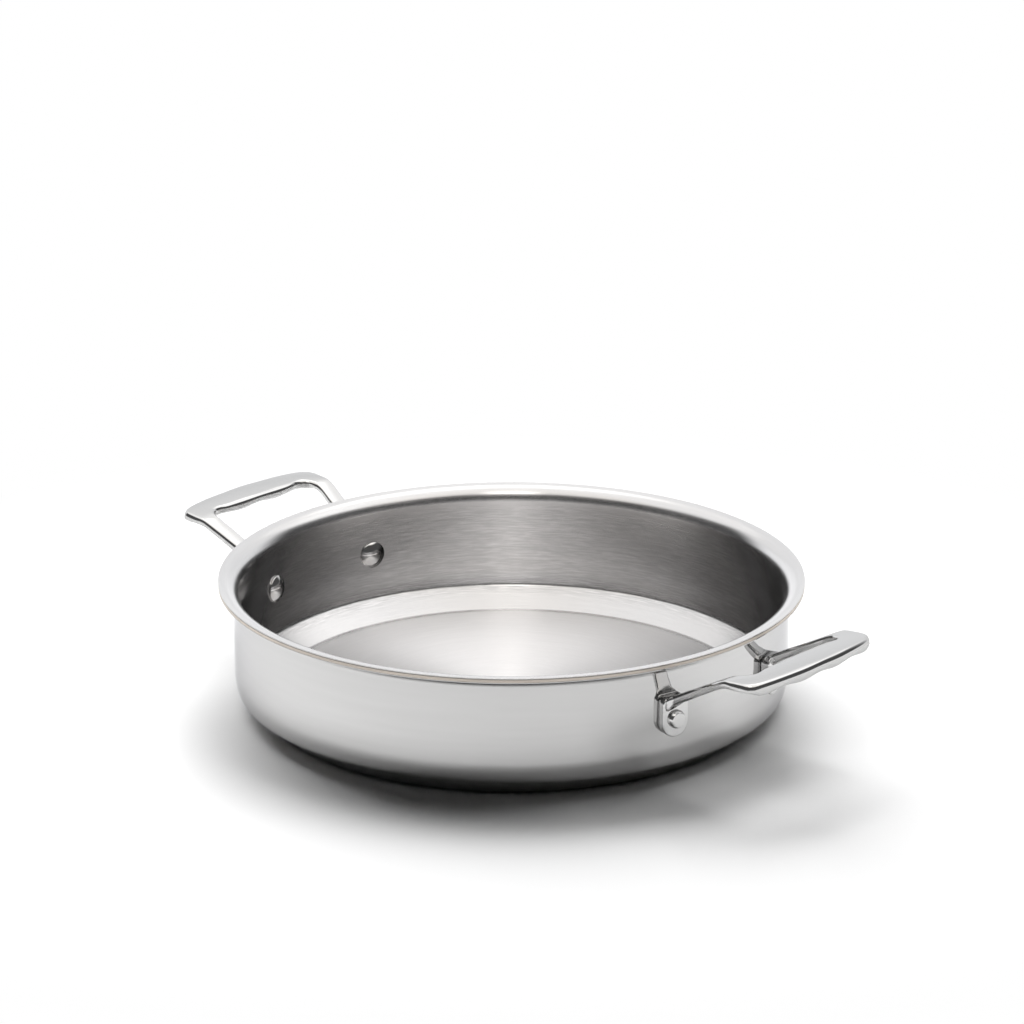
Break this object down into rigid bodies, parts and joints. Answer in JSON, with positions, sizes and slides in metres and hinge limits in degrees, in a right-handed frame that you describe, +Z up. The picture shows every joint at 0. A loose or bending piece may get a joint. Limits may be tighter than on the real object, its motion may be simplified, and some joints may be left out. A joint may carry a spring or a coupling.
{
  "type": "roasting pan",
  "caption": "Round low straight-sided clad steel pan with a flared pouring lip and fixed loop handles riveted to opposite sides of the wall.",
  "frame": {"origin": "middle of the underside of the base, on the surface the pan stands on", "axes": "+X through the right handle, +Y across the pan, +Z up out of the open mouth"},
  "size_m": [0.4012, 0.3, 0.0714],
  "materials": {
    "exterior_steel": "polished stainless steel",
    "core_aluminium": "raw cut edge",
    "interior_steel": "brushed around the wall",
    "handle_steel": "polished casting",
    "rivet_steel": "mirror polished"
  },
  "bodies": {
    "root": {"exterior_ply": "exterior_steel", "core_ply": "core_aluminium", "interior_ply": "interior_steel", "handle_right": "handle_steel", "handle_left": "handle_steel", "rivet_right_front": "rivet_steel", "rivet_right_back": "rivet_steel", "rivet_left_front": "rivet_steel", "rivet_left_back": "rivet_steel"}
  },
  "joints": []
}
